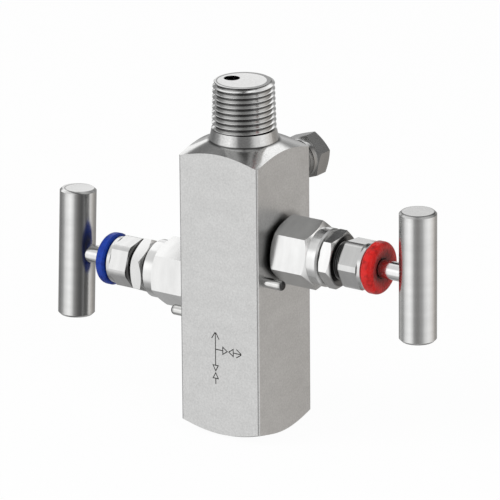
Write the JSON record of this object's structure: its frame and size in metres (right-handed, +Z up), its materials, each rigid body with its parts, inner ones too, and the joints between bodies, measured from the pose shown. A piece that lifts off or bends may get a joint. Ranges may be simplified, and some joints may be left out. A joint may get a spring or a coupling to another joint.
{
  "type": "instrument valve manifold",
  "caption": "Square-bar in-line block-and-bleed instrument manifold with T-handle needle valves, male and female pipe connections and a plugged vent port.",
  "frame": {"origin": "middle of the bottom face, at the mouth of the process port", "axes": "+Z up along the bar to the instrument connection, -X along the isolate valve, +X along the vent valve, +Y out of the vent port"},
  "size_m": [0.1518, 0.0457, 0.1224],
  "materials": {
    "block_steel": "satin, bead blasted flats with fine drawn grain",
    "turned_steel": "bright turned and milled",
    "handle_steel": "satin, turned",
    "internal_steel": "fine turned",
    "blue_cap": "glossy moulded",
    "red_cap": "glossy moulded",
    "packing": "white fluoropolymer",
    "seal": "soft annealed",
    "black_screw": "black oxide"
  },
  "bodies": {
    "manifold": {"manifold_block": "block_steel", "vent_plug": "turned_steel", "isolate_bonnet": "turned_steel", "isolate_bonnet_seal": "seal", "isolate_packing_rings": "packing", "isolate_packing_follower": "internal_steel", "isolate_packing_adjuster": "turned_steel", "isolate_jam_nut": "turned_steel", "isolate_dust_cap": "blue_cap", "isolate_lock_pin": "turned_steel", "vent_bonnet": "turned_steel", "vent_bonnet_seal": "seal", "vent_packing_rings": "packing", "vent_packing_follower": "internal_steel", "vent_packing_adjuster": "turned_steel", "vent_jam_nut": "turned_steel", "vent_dust_cap": "red_cap", "vent_lock_pin": "turned_steel"},
    "isolate_ball_travel": {"isolate_ball_tip": "internal_steel"},
    "isolate_handle_turn": {"isolate_stem": "turned_steel", "isolate_handle": "handle_steel", "isolate_handle_screw": "black_screw"},
    "vent_ball_travel": {"vent_ball_tip": "internal_steel"},
    "vent_handle_turn": {"vent_stem": "turned_steel", "vent_handle": "handle_steel", "vent_handle_screw": "black_screw"}
  },
  "joints": [
    {"name": "isolate_stem_slide", "type": "slide", "parent": "manifold", "child": "isolate_ball_travel", "axis": [-1, 0, 0], "range_m": [0, 0.00272]},
    {"name": "isolate_handle_hinge", "type": "hinge", "parent": "isolate_ball_travel", "child": "isolate_handle_turn", "pos_m": [-0.0692, 0, 0.0496], "axis": [-1, 0, 0], "range_deg": [0, 1080]},
    {"name": "vent_stem_slide", "type": "slide", "parent": "manifold", "child": "vent_ball_travel", "axis": [1, 0, 0], "range_m": [0, 0.00272]},
    {"name": "vent_handle_hinge", "type": "hinge", "parent": "vent_ball_travel", "child": "vent_handle_turn", "pos_m": [0.0692, 0, 0.0662], "axis": [1, 0, 0], "range_deg": [0, 1080]}
  ],
  "couplings": [
    {"joint": "isolate_stem_slide", "follows": "isolate_handle_hinge", "m_per_rad": 0.00014435},
    {"joint": "vent_stem_slide", "follows": "vent_handle_hinge", "m_per_rad": 0.00014435}
  ]
}
